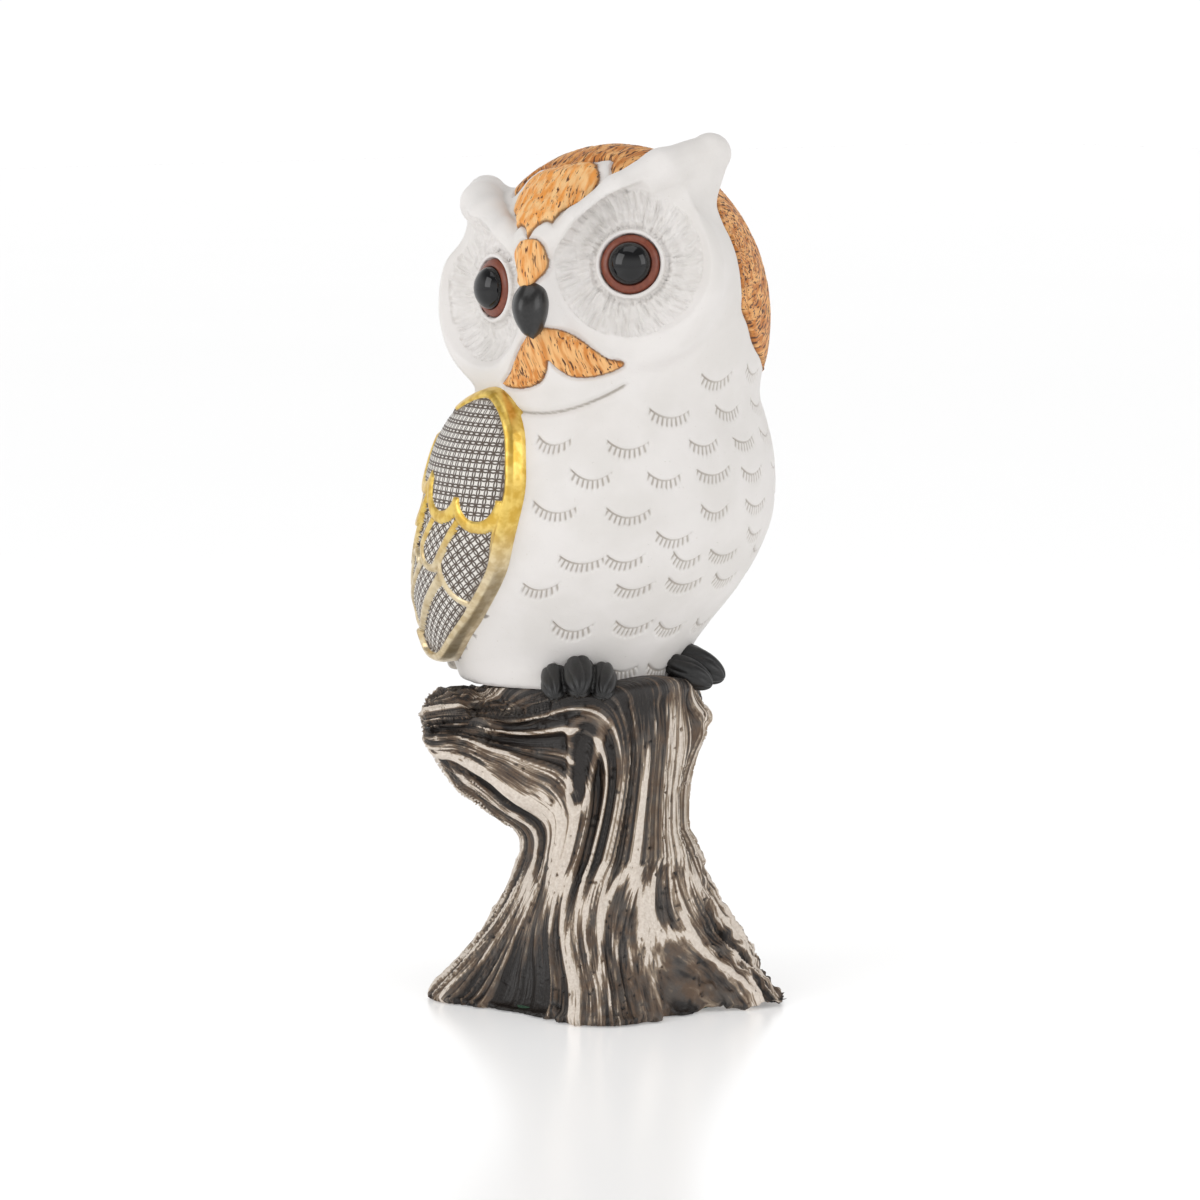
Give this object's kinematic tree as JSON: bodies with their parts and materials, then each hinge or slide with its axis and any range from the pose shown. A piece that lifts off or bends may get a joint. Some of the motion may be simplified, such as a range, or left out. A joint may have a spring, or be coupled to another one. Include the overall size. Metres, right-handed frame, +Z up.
{
  "type": "owl figurine",
  "caption": "Hand-painted resin owl with head turned aside, gold-edged wings and domed bead eyes, standing on a rooted tree stump with a broken branch.",
  "frame": {"origin": "centre of the felt pad's underside, on the surface that the figurine stands on", "axes": "+Z up; the owl's breast faces -Y and its left side is +X; the head is turned 72 degrees towards -X, to the owl's right"},
  "size_m": [0.1134, 0.1158, 0.2533],
  "materials": {
    "bark": "satin",
    "base plug": "matte",
    "felt": "matte",
    "owl white": "matte",
    "pin metal": "satin",
    "feather silver": "satin",
    "wing lattice": "satin",
    "claw black": "satin",
    "iris brown": "satin",
    "pupil black": "gloss"
  },
  "bodies": {
    "root": {"stump": "bark", "base_plug": "base plug", "felt_pad": "felt", "body": "owl white", "body_pins": "pin metal", "tail": "feather silver", "head": "owl white", "beak": "claw black", "wing_right": "wing lattice", "wing_left": "wing lattice", "foot_right": "claw black", "foot_left": "claw black", "iris_right": "iris brown", "iris_left": "iris brown", "pupil_right": "pupil black", "pupil_left": "pupil black"}
  },
  "joints": []
}
